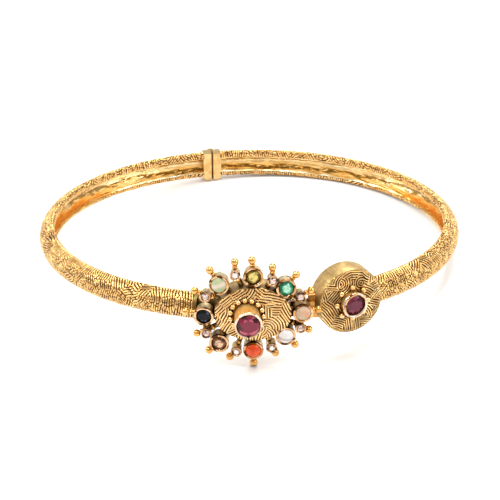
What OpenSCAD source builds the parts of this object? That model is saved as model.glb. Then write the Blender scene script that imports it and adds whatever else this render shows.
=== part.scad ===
// Navaratna bangle: an oval band in two hinged halves. One half carries a cluster with a ruby,
// eight more gems and eight diamonds. The other half carries a round case and the catch's tongue.
// The bangle is drawn with its ring level, and then laid down as it rests on a table.

/* [Ring and band] */
// Half of the wrist opening from side to side
ring_half_width = 29.57; // [28.5:0.01:31]
// Half of the wrist opening from front to back
ring_half_depth = 25.72; // [25:0.01:26.5]
// Depth of the band, out from the wrist
band_depth = 2.28; // [2.1:0.01:2.5]
// Height of the band
band_height = 4.42; // [4.2:0.01:4.6]
// Thickness of the band's outer wall
band_wall = 0.55; // [0.45:0.05:0.7]
// Height of each lip along the band's open inner side
band_lip = 0.7; // [0.5:0.05:0.9]
// Angle from the front at which the left half's band ends
left_band_turn = -15.2; // [-16:0.1:-15]

/* [Hinge] */
// Angle from the front at which the hinge stands, to the left
hinge_turn = -168.8; // [-172:0.1:-164]
// Width of each hinge leaf along the band
leaf_width = 1.25; // [1.1:0.05:1.5]
// Height of the leaves and of the knuckles together
leaf_height = 4.55; // [4.4:0.05:4.8]
// Distance of the leaves' middle below the middle of the band
leaf_down = 0.39; // [0.3:0.01:0.5]
// Gap between the two leaves
leaf_gap = 0.3; // [0.2:0.05:0.4]
// Cut at the lower outer corner of each leaf
leaf_corner = 0.45; // [0.2:0.05:0.6]
// Depth of the leaves, from the wrist line out to the hinge axis
leaf_depth = 1.85; // [1.7:0.05:2]
// Radius of the knuckles
knuckle_radius = 0.52; // [0.48:0.01:0.58]
// Radius of the hinge pin
pin_radius = 0.25; // [0.2:0.01:0.28]

/* [Cluster box and dome] */
// Distance of the cluster's centre to the right of the ring's middle
cluster_right = 0.41; // [0:0.01:1]
// Height of the cluster's centre over the middle of the band
cluster_up = 0.39; // [0:0.01:0.5]
// Distance from the wrist line out to the faces of the collars
cluster_out = 3.6; // [3.5:0.05:3.8]
// Half of the oval box's length
box_half_length = 5.55; // [5.3:0.05:5.6]
// Half of the oval box's height
box_half_height = 4.15; // [3.9:0.05:4.2]
// Thickness of the box's wall
box_wall = 0.4; // [0.3:0.05:0.5]
// Rise of the dome over the box's rim
dome_rise = 0.75; // [0.6:0.05:1]
// Thickness of the dome's plate
dome_plate = 0.4; // [0.3:0.05:0.5]
// Radius of the small granules
granule_radius = 0.38; // [0.3:0.01:0.42]

/* [Settings of the cluster] */
// Outer radius of the eight gem collars
gem_collar_radius = 1.49; // [1.4:0.01:1.52]
// Radius of the eight gems
gem_radius = 1.12; // [1:0.01:1.15]
// Outer radius of the eight diamond collars
diamond_collar_radius = 0.82; // [0.75:0.01:0.85]
// Radius of the diamonds
diamond_radius = 0.58; // [0.5:0.01:0.6]
// Depth of the collars behind their faces
collar_depth = 1.9; // [1.7:0.05:2]
// Outward lean of the collars in degrees
collar_lean = 8; // [4:1:10]
// Play between a stone and its collar
stone_play = 0.05; // [0.03:0.01:0.06]

/* [Centre ruby] */
// Place of the ruby's collar to the left of the dome's centre
ruby_left = 0.88; // [0.8:0.01:1.2]
// Place of the ruby's collar above the dome's centre
ruby_up = 0.12; // [0:0.01:0.3]
// Outer radius of the ruby collar's rim
ruby_collar_radius = 2.05; // [2:0.01:2.15]
// Outer radius of the ruby's collar at its foot
ruby_foot_radius = 1.85; // [1.8:0.01:1.9]
// Radius of the ruby
ruby_radius = 1.7; // [1.65:0.01:1.72]
// Shift of the ruby in its collar, down
ruby_shift = 0.12; // [0:0.01:0.15]
// Height of the ruby collar's rim over the box's rim
ruby_rise = 3.9; // [3.5:0.05:4.2]
// Lean of the ruby's collar to the right in degrees
ruby_lean = 3.5; // [0:0.5:6]
// Number of granules round the ruby's collar
ruby_granules = 15; // [12:1:16]
// Radius of that ring of granules
ruby_granule_ring = 2.38; // [2.35:0.01:2.5]

/* [Round case] */
// Angle from the front at which the round case stands, to the right
drum_turn = 26.5; // [26.4:0.1:27.2]
// Radius of the round case
drum_radius = 4.93; // [4.8:0.01:4.95]
// Depth of the round case
drum_depth = 3.2; // [3:0.05:3.4]
// Height of the case's centre over the middle of the band
drum_up = 0.72; // [0.5:0.01:0.8]
// Rise of the case's domed face
drum_rise = 0.6; // [0.5:0.05:0.9]
// Outer radius of the collar's rim on the case
drum_collar_radius = 1.98; // [1.9:0.01:2.02]
// Outer radius of that collar at its foot
drum_foot_radius = 1.7; // [1.6:0.01:1.8]
// Radius of the stone in that collar
drum_ruby_radius = 1.42; // [1.35:0.01:1.45]
// Shift of that stone in its collar, to the right and down
drum_ruby_shift = 0.12; // [0:0.01:0.15]
// Height of the collar's rim over the case's rim
drum_collar_rise = 1.8; // [1.5:0.05:2]
// Number of granules round that collar
drum_granules = 8; // [7:1:9]

/* [Catch] */
// Thickness of the tongue
tongue_thickness = 0.5; // [0.4:0.05:0.6]
// Height of the tongue
tongue_height = 2.4; // [2:0.1:2.6]
// Room round the tongue in the slot of the box
slot_room = 0.3; // [0.25:0.05:0.4]

/* [How it rests] */
// Forward rise of the ring, in degrees, as it lies on its lowest ball
rest_pitch = 6.31; // [5:0.01:7]
// Lean to the right, in degrees
rest_roll = 2.86; // [2:0.01:4]

/* [Hidden] */
$fn = 48;

// Moves the lying bangle so that its lowest point is at 0 and its outline is centred
rest_shift = [0, 2.742, 5.379];
// Gap between pieces that are seated on each other
seat = 0.05;
// Overlap of soldered pieces within one solid
weld = 0.2;
// Reach of a cutting shape past what it cuts
past = 1;

gold = "goldenrod";
pale_gold = "khaki";
rose_gold = "sandybrown";

// One row for each setting of the cluster, seen from the front: name, millimetres right and up,
// then its ball: bearing, reach from the stone's centre, depth behind the collar's face, radius
SETTINGS = [
  ["yellow_sapphire",  0.10,  5.80,   94, 2.20, 1.2, 0.60],
  ["emerald",          4.82,  3.99,   50, 2.20, 1.2, 0.58],
  ["opal",             7.22,  0.03,    8, 2.20, 0.7, 0.52],
  ["pearl",            4.72, -3.66,  -54, 2.20, 1.2, 0.58],
  ["coral",            0.00, -5.90,  -89, 2.40, 1.2, 0.59],
  ["hessonite",       -4.94, -4.68, -133, 2.10, 1.2, 0.58],
  ["blue_sapphire",   -7.08, -0.34,  173, 2.58, 1.2, 0.57],
  ["cats_eye",        -4.86,  4.63,  123, 2.24, 1.2, 0.60],
  ["diamond_1",        2.90,  5.18,   92, 1.70, 1.2, 0.59],
  ["diamond_2",        6.86,  2.52,   24, 1.60, 1.2, 0.56],
  ["diamond_3",        6.82, -2.43,  -29, 1.35, 1.2, 0.57],
  ["diamond_4",        2.67, -5.53,  -67, 1.35, 1.2, 0.56],
  ["diamond_5",       -2.48, -6.08, -127, 1.50, 1.2, 0.58],
  ["diamond_6",       -6.80, -3.06, -161, 1.35, 1.2, 0.56],
  ["diamond_7",       -6.85,  2.77,  159, 1.50, 1.2, 0.56],
  ["diamond_8",       -2.51,  6.10,   90, 1.65, 1.2, 0.60],
];
function setting(name) = SETTINGS[search([name], SETTINGS)[0]];
function right(row) = row[1];
function up(row) = row[2];
function ball_bearing(row) = row[3];
function ball_reach(row) = row[4];
function ball_down(row) = row[5];
function ball_radius(row) = row[6];
function is_diamond(row) = row[0][0] == "d";
function collar_radius(row) = is_diamond(row) ? diamond_collar_radius : gem_collar_radius;
function stone_radius(row) = is_diamond(row) ? diamond_radius : gem_radius;
function bearing(row) = atan2(up(row), right(row));
function reach(row) = norm([right(row), up(row)]);

// Places on the ring
// Point of the wrist line at an angle from the front, and the direction outward there
function wrist_point(turn) = [ring_half_width * sin(turn), -ring_half_depth * cos(turn), 0];
function outward(turn) =
  let (v = [ring_half_depth * sin(turn), -ring_half_width * cos(turn), 0]) v / norm(v);
function outward_angle(turn) = atan2(outward(turn)[1], outward(turn)[0]);
// Angle that the wrist line takes for a length along it, near the front or the back
function turn_for(length) = length / ring_half_width * 180 / PI;

hinge_axis = wrist_point(hinge_turn) + leaf_depth * outward(hinge_turn) - [0, 0, leaf_down];
hinge_half = leaf_gap / 2 + leaf_width;

// Stands its children at the ring's front, with X to the right, Y up and Z out from the wrist
module at_cluster() {
  translate([cluster_right, -ring_half_depth - cluster_out, cluster_up]) rotate([90, 0, 0]) children();
}

// The same at the round case, where Z = 0 is the wrist line
module at_drum() {
  translate(wrist_point(drum_turn) + [0, 0, drum_up])
    rotate([0, 0, outward_angle(drum_turn) + 90]) rotate([90, 0, 0]) children();
}

// Stands its children at the hinge axis, with Y out from the wrist
module at_hinge() {
  translate(hinge_axis) rotate([0, 0, outward_angle(hinge_turn) - 90]) children();
}

// Lays the level ring down as it rests
module at_rest() {
  translate(rest_shift) rotate([-rest_pitch, rest_roll, 0]) children();
}

// Band
// Its section is a half-round wall, open towards the wrist between two lips
section_steps = 12;
station_step = 2.9;
function section_angle(i) = 180 * i / section_steps - 90;
function outer_wall(i) =
  let (a = section_angle(i)) [band_depth * cos(a), band_height / 2 * sin(a)];
function inner_wall(i) = let (a = section_angle(i))
  [(band_depth - band_wall) * cos(a), (band_height / 2 - band_lip) * sin(a)];
band_section = concat([for (i = [0:section_steps]) outer_wall(i)],
  [for (i = [section_steps:-1:0]) inner_wall(i)]);
function band_ring(turn) = [for (p = band_section)
  wrist_point(turn) + p[0] * outward(turn) + [0, 0, p[1]]];

module band(from, to) {
  stations = ceil((to - from) / station_step);
  sides = 2 * section_steps + 2;
  points = [for (i = [0:stations]) each band_ring(from + (to - from) * i / stations)];
  walls = [for (i = [0:stations - 1], j = [0:sides - 1])
    let (a = i * sides + j, b = i * sides + (j + 1) % sides)
    each [[a, b, a + sides], [b, b + sides, a + sides]]];
  ends = [for (j = [0:section_steps - 1])
    let (k = sides - 1 - j, far = stations * sides)
    each [[j, k, j + 1], [j + 1, k, k - 1], [far + j, far + j + 1, far + k],
      [far + j + 1, far + k - 1, far + k]]];
  polyhedron(points, concat(walls, ends));
}

module left_band() {
  color(gold) band(hinge_turn + turn_for(hinge_half + seat), left_band_turn);
}

module right_band() {
  color(gold) difference() {
    band(drum_turn + turn_for(drum_radius / 2), 360 + hinge_turn - turn_for(hinge_half + seat));
    at_drum() translate([0, 0, -past]) cylinder(r = drum_radius + seat, h = drum_depth + 2 * past);
  }
}

// Hinge
// Two leaves that close the band's ends, with two knuckles on the left one and one on the right
knuckle_height = leaf_height / 3;
knuckle_gap = 0.06;
pin_play = 0.03;
knuckle_relief = 0.12;

module leaf_plate(side) {
  outline = [[leaf_gap / 2, leaf_height / 2], [hinge_half, leaf_height / 2],
    [hinge_half, leaf_corner - leaf_height / 2], [hinge_half - leaf_corner, -leaf_height / 2],
    [leaf_gap / 2, -leaf_height / 2]];
  rotate([90, 0, 0]) linear_extrude(leaf_depth) polygon([for (p = outline) [side * p[0], p[1]]]);
}

module knuckle_stack(levels, radius, gap) {
  for (level = levels)
    translate([0, 0, (level - 1) * knuckle_height])
      cylinder(r = radius, h = knuckle_height - gap, center = true);
}

module hinge_leaf(side, own, other) {
  at_hinge() difference() {
    union() {
      leaf_plate(side);
      knuckle_stack(own, knuckle_radius, knuckle_gap);
    }
    knuckle_stack(other, knuckle_radius + knuckle_relief, -knuckle_gap);
    cylinder(r = pin_radius + pin_play, h = leaf_height + past, center = true);
  }
}

module left_hinge_leaf() color(pale_gold) hinge_leaf(-1, [0, 2], [1]);
module right_hinge_leaf() color(pale_gold) hinge_leaf(1, [1], [0, 2]);

module hinge_pin() {
  color(gold) at_hinge() cylinder(r = pin_radius, h = leaf_height, center = true);
}

// Cluster box and dome
// The dome is part of a spindle that lies along the box: an arc turned about the box's length
spindle_radius = (pow(box_half_height, 2) + pow(dome_rise, 2)) / (2 * dome_rise);
spindle_down = spindle_radius - dome_rise;
arc_radius = (pow(box_half_length, 2) + pow(dome_rise, 2)) / (2 * dome_rise);
function spindle(x) = spindle_radius - arc_radius + sqrt(pow(arc_radius, 2) - x * x);
function dome_height(x, y) = sqrt(pow(spindle(x), 2) - y * y) - spindle_down;
function oval_point(a) = let (x = box_half_length * cos(a))
  [x, sign(sin(a)) * sqrt(max(0, pow(spindle(x), 2) - pow(spindle_down, 2)))];
function oval_reach(a) = 1 / norm([cos(a) / box_half_length, sin(a) / box_half_height]);
box_depth = cluster_out + 0.1;
box_floor = 0.35;
oval_sides = 48;
spindle_steps = 16;

module oval(inset) {
  k = 1 - inset / box_half_height;
  l = 1 - inset / box_half_length;
  polygon([for (i = [0:oval_sides - 1])
    let (p = oval_point(360 * (i + 0.5) / oval_sides)) [l * p[0], k * p[1]]]);
}

module spindle_solid(inset) {
  half = box_half_length + past;
  rotate([0, 90, 0]) rotate_extrude()
    polygon(concat([[0, -half]], [for (i = [-spindle_steps:spindle_steps])
      let (x = half * i / spindle_steps) [spindle(x) - inset, x]], [[0, half]]));
}

module dome_shell() {
  width = 2 * box_half_length + past;
  intersection() {
    translate([0, 0, -spindle_down]) difference() {
      spindle_solid(0);
      spindle_solid(dome_plate);
    }
    translate([-width / 2, -width / 2, seat]) cube([width, width, dome_rise + past]);
  }
}

// Ruby's collar, on the dome
ruby_well = 1.4;
module at_ruby_base() translate([-ruby_left, ruby_up, 0]) children();
module at_ruby() at_ruby_base() rotate([0, ruby_lean, 0]) translate([0, 0, ruby_rise]) children();

module cluster_dome() {
  color(gold) at_cluster() difference() {
    union() {
      dome_shell();
      at_ruby() translate([0, 0, -ruby_rise + dome_rise - dome_plate])
        cylinder(r1 = ruby_foot_radius, r2 = ruby_collar_radius,
          h = ruby_rise - dome_rise + dome_plate);
      for (i = [0:ruby_granules - 1])
        let (a = 360 * i / ruby_granules,
          x = ruby_granule_ring * cos(a) - ruby_left, y = ruby_granule_ring * sin(a) + ruby_up)
          translate([x, y, dome_height(x, y) + granule_radius / 2]) sphere(granule_radius);
    }
    at_ruby() translate([0, -ruby_shift, -ruby_well])
      cylinder(r = ruby_radius + stone_play, h = ruby_well + past);
  }
}

// Collars of the cluster, their balls, and the bars that hold them to the box
collar_floor = 0.6;
bar_down = 1.5;
bar_radius = 0.4;
stem_radius = 0.24;
stem_ring_radius = 0.38;
stem_ring_width = 0.28;

module at_setting(row) {
  translate([right(row), up(row), 0]) rotate([0, 0, bearing(row)]) rotate([0, collar_lean, 0])
    rotate([0, 0, -bearing(row)]) children();
}

module collar(row) {
  at_setting(row) translate([0, 0, -collar_depth])
    cylinder(r = collar_radius(row), h = collar_depth);
}

module collar_well(row) {
  at_setting(row) translate([0, 0, collar_floor - collar_depth])
    cylinder(r = stone_radius(row) + stone_play, h = collar_depth + past);
}

module setting_bar(row) {
  start = oval_reach(bearing(row)) - box_wall;
  length = reach(row) - start - collar_radius(row) + weld;
  rotate([0, 0, bearing(row)]) translate([start, 0, -bar_down]) rotate([0, 90, 0])
    cylinder(r = bar_radius, h = length);
  if (is_diamond(row))
    rotate([0, 0, bearing(row)])
      translate([reach(row) - collar_radius(row) - granule_radius, 0, granule_radius - bar_down])
        sphere(granule_radius);
}

module setting_ball(row) {
  translate([right(row), up(row), -ball_down(row)]) rotate([0, 0, ball_bearing(row)]) {
    translate([ball_reach(row), 0, 0]) sphere(ball_radius(row));
    rotate([0, 90, 0]) {
      cylinder(r = stem_radius, h = ball_reach(row));
      translate([0, 0, ball_reach(row) - ball_radius(row) - stem_ring_width])
        cylinder(r = stem_ring_radius, h = stem_ring_width + weld);
    }
  }
}

// Bar from the left band's end to the box, with the cap that closes the band
bar_thickness = 1.25;
bar_height = 3.2;
cap_thickness = 0.5;
module left_bar() {
  end = wrist_point(left_band_turn + turn_for(seat));
  out = outward(left_band_turn);
  box_left = cluster_right - box_half_length + weld;
  linear_extrude(bar_height, center = true)
    polygon([[end[0], end[1]], [end[0] + bar_thickness * out[0], end[1] + bar_thickness * out[1]],
      [box_left, -ring_half_depth - bar_thickness], [box_left, -ring_half_depth]]);
}

module band_cap() {
  translate(wrist_point(left_band_turn + turn_for(seat)))
    rotate([0, 0, outward_angle(left_band_turn)]) rotate([90, 0, 0])
      mirror([0, 0, 1]) linear_extrude(cap_thickness)
        polygon([for (i = [0:section_steps]) outer_wall(i)]);
}

// Tongue of the catch: a flat strip along the swing of the hinge
tongue_root = [8.6, -ring_half_depth - 0.3];
tongue_tip = [4.3, -ring_half_depth - 1.4];
function tongue_along() = let (v = tongue_root - tongue_tip) v / norm(v);
module tongue_strip(room, extra) {
  v = tongue_root - tongue_tip;
  translate([tongue_tip[0], tongue_tip[1], 0]) rotate([0, 0, atan2(v[1], v[0])])
    translate([-extra, -tongue_thickness / 2 - room, -tongue_height / 2 - room])
      cube([norm(v) + extra, tongue_thickness + 2 * room, tongue_height + 2 * room]);
}

module cluster_frame() {
  color(rose_gold) difference() {
    union() {
      at_cluster() {
        translate([0, 0, -box_depth]) linear_extrude(box_depth) oval(0);
        for (row = SETTINGS) {
          collar(row);
          setting_bar(row);
          setting_ball(row);
        }
      }
      left_bar();
      band_cap();
    }
    at_cluster() {
      translate([0, 0, box_floor - box_depth]) linear_extrude(box_depth + past) oval(box_wall);
      for (row = SETTINGS) collar_well(row);
    }
    tongue_strip(slot_room, 0);
  }
}

// Stones
// A brilliant: an eight-sided table, stars, kites and girdle facets over a pointed pavilion.
// Z = 0 is the top of the girdle.
gem_sides = 8;
girdle = 0.06;
module brilliant(radius, table = 0.56, crown = 0.3, pavilion = 0.62) {
  step = 360 / gem_sides;
  function ring(r, z, shift) = [for (i = [0:gem_sides - 1])
    [r * cos((i + shift) * step), r * sin((i + shift) * step), z]];
  crown_slope = crown / (1 - table);
  star = (1 + table) / 2;
  lower = 0.4;
  crown_z = radius * (crown - (star * cos(step / 2) - table) * crown_slope);
  lower_z = -girdle - radius * pavilion * (1 - lower * cos(step / 2));
  points = concat(
    ring(radius * table, radius * crown, 0),
    ring(radius * star, crown_z, 0.5),
    ring(radius, 0, 0), ring(radius, 0, 0.5),
    ring(radius, -girdle, 0), ring(radius, -girdle, 0.5),
    ring(radius * lower, lower_z, 0.5),
    [[0, 0, -girdle - radius * pavilion]]);
  n = gem_sides;
  faces = concat(
    [[for (i = [0:n - 1]) n - 1 - i]],
    [for (i = [0:n - 1]) let (j = (i + 1) % n, h = (i + n - 1) % n) each [
      [i, j, n + i],
      [i, n + i, 2 * n + i, n + h],
      [n + i, 3 * n + i, 2 * n + i], [n + i, 2 * n + j, 3 * n + i],
      [2 * n + i, 3 * n + i, 5 * n + i, 4 * n + i], [3 * n + i, 2 * n + j, 4 * n + j, 5 * n + i],
      [4 * n + i, 5 * n + i, 6 * n + i], [5 * n + i, 4 * n + j, 6 * n + i],
      [4 * n + i, 6 * n + i, 7 * n, 6 * n + h]]]);
  polyhedron(points, faces);
}

// A round dome on a low drum, with Z = 0 at the drum's top edge
module cabochon(radius, rise, drum = 0.7) {
  bulge = (radius * radius + rise * rise) / (2 * rise);
  rotate_extrude() polygon(concat([[0, -drum], [radius, -drum]],
    [for (i = [0:8]) let (a = asin(radius / bulge) * (8 - i) / 8)
      [i == 8 ? 0 : bulge * sin(a), bulge * cos(a) - bulge + rise]]));
}

// Places a stone in its collar, at a depth below the rim
module in_setting(name, below) {
  row = setting(name);
  at_cluster() at_setting(row) translate([0, 0, -below]) children();
}

module yellow_sapphire() {
  color("gold") in_setting("yellow_sapphire", 0.55) brilliant(gem_radius, 0.6, 0.25, 0.55);
}
module emerald() color("seagreen") in_setting("emerald", 0.3) brilliant(gem_radius);
module opal() color("rosybrown") in_setting("opal", 0.15) cabochon(gem_radius, 0.4);
module pearl() color("white") in_setting("pearl", 0.1) cabochon(gem_radius, 0.62);
module coral() color("orangered") in_setting("coral", 0.1) cabochon(gem_radius, 0.68);
module hessonite() color("saddlebrown") in_setting("hessonite", 0.35) brilliant(gem_radius);
module blue_sapphire() color("midnightblue") in_setting("blue_sapphire", 0.35) brilliant(gem_radius);
module cats_eye() color("palegreen") in_setting("cats_eye", 0.15) cabochon(gem_radius, 0.4);
module diamond(number) {
  color("mistyrose") in_setting(str("diamond_", number), 0.25) brilliant(diamond_radius, 0.5, 0.35);
}
module ruby() color("mediumvioletred") at_cluster() at_ruby() translate([0, -ruby_shift, -0.2])
  brilliant(ruby_radius, 0.6, 0.25, 0.5);

// Round case with its neck and the tongue
drum_wall = 0.4;
drum_floor = 0.4;
neck_left = 8.3;
neck_up = 0.15;
neck_height = 3.7;
neck_thickness = 1.9;
drum_well = 1.1;
drum_granule_ring = 2.4;
drum_granule_radius = 0.42;
drum_edge = 0.17;
drum_bulge = (pow(drum_radius, 2) + pow(drum_rise - drum_edge, 2)) / (2 * (drum_rise - drum_edge));
drum_dome_steps = 8;
function drum_dome_height(r) =
  drum_depth + drum_rise - drum_bulge + sqrt(pow(drum_bulge, 2) - r * r);

module neck() {
  inner = [neck_left, -ring_half_depth + 1.05];
  linear_extrude(neck_height, center = true)
    polygon([inner, [inner[0], inner[1] - neck_thickness],
      [inner[0] + 3, inner[1] - neck_thickness + 0.3], [inner[0] + 3, inner[1] + 0.9]]);
}

module drum_case() {
  color(pale_gold) difference() {
    union() {
      at_drum() cylinder(r = drum_radius, h = drum_depth);
      translate([0, 0, neck_up]) neck();
      tongue_strip(0, 0);
    }
    at_drum() translate([0, 0, drum_floor])
      cylinder(r = drum_radius - drum_wall, h = drum_depth + past);
  }
}

// The domed face and its collar are turned in one, and the granules stand round the collar
module drum_face() {
  top = drum_depth + drum_collar_rise;
  width = drum_radius - drum_foot_radius;
  rotate_extrude() polygon(concat(
    [[0, top], [drum_collar_radius, top]],
    [for (i = [0:drum_dome_steps])
      let (r = drum_foot_radius + width * i / drum_dome_steps) [r, drum_dome_height(r)]],
    [[drum_radius, drum_depth + seat], [drum_radius - drum_wall, drum_depth + seat],
      [0, drum_depth + drum_rise - dome_plate]]));
}

module drum_dome() {
  color(gold) at_drum() difference() {
    union() {
      drum_face();
      for (i = [0:drum_granules - 1])
        rotate([0, 0, 360 * i / drum_granules + 90]) translate([drum_granule_ring, 0,
          drum_dome_height(drum_granule_ring) + drum_granule_radius / 2]) sphere(drum_granule_radius);
    }
    translate([drum_ruby_shift, -drum_ruby_shift, drum_depth + drum_collar_rise - drum_well])
      cylinder(r = drum_ruby_radius + stone_play, h = drum_well + past);
  }
}

module drum_ruby() {
  color("mediumvioletred") at_drum()
    translate([drum_ruby_shift, -drum_ruby_shift, drum_depth + drum_collar_rise - 0.45])
      brilliant(drum_ruby_radius, 0.6, 0.2, 0.34);
}

at_rest() left_band();
at_rest() left_hinge_leaf();
at_rest() hinge_pin();
at_rest() cluster_frame();
at_rest() cluster_dome();
at_rest() ruby();
at_rest() yellow_sapphire();
at_rest() emerald();
at_rest() opal();
at_rest() pearl();
at_rest() coral();
at_rest() hessonite();
at_rest() blue_sapphire();
at_rest() cats_eye();
at_rest() diamond(1);  // diamond_1
at_rest() diamond(2);  // diamond_2
at_rest() diamond(3);  // diamond_3
at_rest() diamond(4);  // diamond_4
at_rest() diamond(5);  // diamond_5
at_rest() diamond(6);  // diamond_6
at_rest() diamond(7);  // diamond_7
at_rest() diamond(8);  // diamond_8
at_rest() right_band();
at_rest() right_hinge_leaf();
at_rest() drum_case();
at_rest() drum_dome();
at_rest() drum_ruby();
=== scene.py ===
"""Visual model of the navaratna bangle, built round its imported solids."""
import math

import bpy
import numpy as np
from mathutils import Matrix
from mathutils.kdtree import KDTree


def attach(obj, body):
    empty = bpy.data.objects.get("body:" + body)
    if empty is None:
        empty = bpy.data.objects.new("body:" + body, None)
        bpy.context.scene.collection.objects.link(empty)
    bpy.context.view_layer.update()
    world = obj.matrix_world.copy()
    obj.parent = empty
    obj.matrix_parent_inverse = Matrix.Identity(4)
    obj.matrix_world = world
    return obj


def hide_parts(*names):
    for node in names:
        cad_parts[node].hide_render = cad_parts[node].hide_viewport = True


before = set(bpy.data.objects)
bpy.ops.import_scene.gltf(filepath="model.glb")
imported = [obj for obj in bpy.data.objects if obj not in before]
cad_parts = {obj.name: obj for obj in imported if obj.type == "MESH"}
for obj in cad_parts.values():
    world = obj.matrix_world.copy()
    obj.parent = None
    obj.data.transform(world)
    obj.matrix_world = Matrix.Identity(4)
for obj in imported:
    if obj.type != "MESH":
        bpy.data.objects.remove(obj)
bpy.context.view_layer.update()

# The ring. The bangle is drawn level and in millimetres: the wrist goes through along Z, and the
# cluster is at -Y. It is then laid down as it rests, on the cluster's lowest ball and on the
# back of the band. The camera stands where the photograph was taken from.
ring_half_width, ring_half_depth = 29.57, 25.72
rest_pitch, rest_roll, rest_shift = 6.31, 2.86, (0, 2.742, 5.379)
picture_size, focal_length, picture_centre = 500, 2960.2, (249.13, 230.66)
view_elevation, view_roll, view_distance = 24.86, -0.64, 450


def shifted(x, y, z):
    place = np.eye(4)
    place[:3, 3] = x, y, z
    return place


def turned(axis, degrees):
    a, b = {"X": (1, 2), "Y": (2, 0), "Z": (0, 1)}[axis]
    place, angle = np.eye(4), math.radians(degrees)
    place[a, a] = place[b, b] = math.cos(angle)
    place[b, a] = math.sin(angle)
    place[a, b] = -math.sin(angle)
    return place


def placed(name, data):
    item = bpy.data.objects.new(name, data)
    bpy.context.scene.collection.objects.link(item)
    return item


lying = shifted(*rest_shift) @ turned("Y", rest_roll) @ turned("X", -rest_pitch)

camera = placed("camera", bpy.data.cameras.new("camera"))
camera.data.sensor_width = 36
camera.data.lens = focal_length / picture_size * camera.data.sensor_width
camera.data.shift_x = 0.5 - picture_centre[0] / picture_size
camera.data.shift_y = picture_centre[1] / picture_size - 0.5
camera.data.clip_start = 0.01
stand = (lying @ turned("X", 90 - view_elevation) @ turned("Z", view_roll)
         @ shifted(0, 0, view_distance))
stand[:3, 3] /= 1000
camera.matrix_world = Matrix(stand.tolist())
bpy.context.scene.camera = camera

# Left band. Half-round hollow band of sheet gold, open to the wrist between two rounded lips, and
# polished inside. Half-round wires are soldered on it in fields, long ones at the front, and
# finer short bits at the back and low down. The sheet between the wires is dark, with tarnish and
# painted shade.
band_depth, band_height, upper_lip, lower_lip = 2.28, 4.42, 1.1, 0.8
left_band_turn, hinge_turn, hinge_leaf_reach = -15.2, -168.8, 1.3
wire_pitch, wire_fill, wire_rise, wire_sunk, wire_step = 0.42, 0.38, 0.17, 0.03, 0.22
fine_share, bold_above, bit_lengths, bit_width = 0.86, 1.3, (0.35, 1.3), 1.17
band_field_reach, band_end_gap, degrees_a_radian = 4.6, 0.05, 57.3
gold_pale, gold_deep = (0.97, 0.63, 0.26), (0.82, 0.46, 0.15)
# Tarnish, also used as painted shade in nooks and between wires; the second is lighter, for the
# back.
tarnish_and_shade, back_tarnish_and_shade = (0.095, 0.034, 0.006), (0.36, 0.19, 0.05)


class Tone:
    """A value or a colour of a material's nodes, with Python's own arithmetic."""

    def __init__(self, finish, socket):
        self.finish, self.socket = finish, socket

    def worked(self, operation, first, second):
        kind = "VectorMath" if self.socket.type in ("VECTOR", "RGBA") else "Math"
        return self.finish.node(kind, {"operation": operation}, {0: first, 1: second})

    def __add__(self, other):
        return self.worked("ADD", self, other)

    def __sub__(self, other):
        return self.worked("SUBTRACT", self, other)

    def __rsub__(self, other):
        return self.worked("SUBTRACT", other, self)

    def __mul__(self, other):
        return self.worked("MULTIPLY", self, other)

    __radd__, __rmul__ = __add__, __mul__

    def __abs__(self):
        return self.finish.node("Math", {"operation": "ABSOLUTE"}, {0: self})

    def along(self, axis):
        return self.finish.node("SeparateXYZ", {}, {0: self}, output="XYZ".index(axis))

    def between(self, low, high):
        """0 up to low, 1 from high on, and smooth between them."""
        return self.finish.node("MapRange", {"interpolation_type": "SMOOTHSTEP"},
                                {0: self, 1: low, 2: high})


class Finish:
    """One material: a Principled shader, and the nodes that vary it over the surface."""

    def __init__(self, name, owner=None, shader="Principled BSDF", **constants):
        self.material = owner or bpy.data.materials.new(name)
        self.material.use_nodes = True
        self.tree = self.material.node_tree
        self.shader = self.tree.nodes[shader]
        self.set(**constants)

    def feed(self, socket, value):
        if isinstance(value, Tone):
            self.tree.links.new(value.socket, socket)
        elif socket.type == "RGBA" and len(value) == 3:
            socket.default_value = (*value, 1)
        elif socket.type == "VECTOR" and isinstance(value, (int, float)):
            socket.default_value = (value,) * 3
        else:
            socket.default_value = value

    def set(self, **tones):
        for key, value in tones.items():
            name = key.replace("_", " ").title().replace("Ior", "IOR")
            self.feed(self.shader.inputs[name], value)
        return self.material

    def node(self, kind, settings, values, output=0):
        node = self.tree.nodes.new("ShaderNode" + kind)
        for key, value in settings.items():
            setattr(node, key, value)
        for key, value in values.items():
            self.feed(node.inputs[key], value)
        return Tone(self, node.outputs[output])

    def own(self):
        """A made piece's own place in millimetres: turned parts have their axis along Z."""
        return self.node("Attribute", {"attribute_name": "own"}, {}, output="Vector")

    def packed(self):
        """A place on the bangle in millimetres, as it rests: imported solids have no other."""
        return self.node("TexCoord", {}, {}, output="Object") * 1000

    def dot(self, place, way):
        return self.node("VectorMath", {"operation": "DOT_PRODUCT"}, {0: place, 1: way},
                         output="Value")

    def noise(self, place, scale=1.0, detail=2.0):
        return self.node("TexNoise", {}, {"Vector": place, "Scale": scale, "Detail": detail})

    def mix(self, share, first, second):
        return self.node("Mix", {"data_type": "RGBA"}, {0: share, 6: first, 7: second}, output=2)

    def nook(self, reach):
        """1 on open metal, and 0 deep in a gap narrower than reach."""
        return self.node("AmbientOcclusion", {"samples": 6}, {"Distance": reach / 1000},
                         output="AO")

    def bump(self, height, strength, depth):
        return self.node("Bump", {}, {"Strength": strength, "Distance": depth / 1000,
                                      "Height": height})


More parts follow.
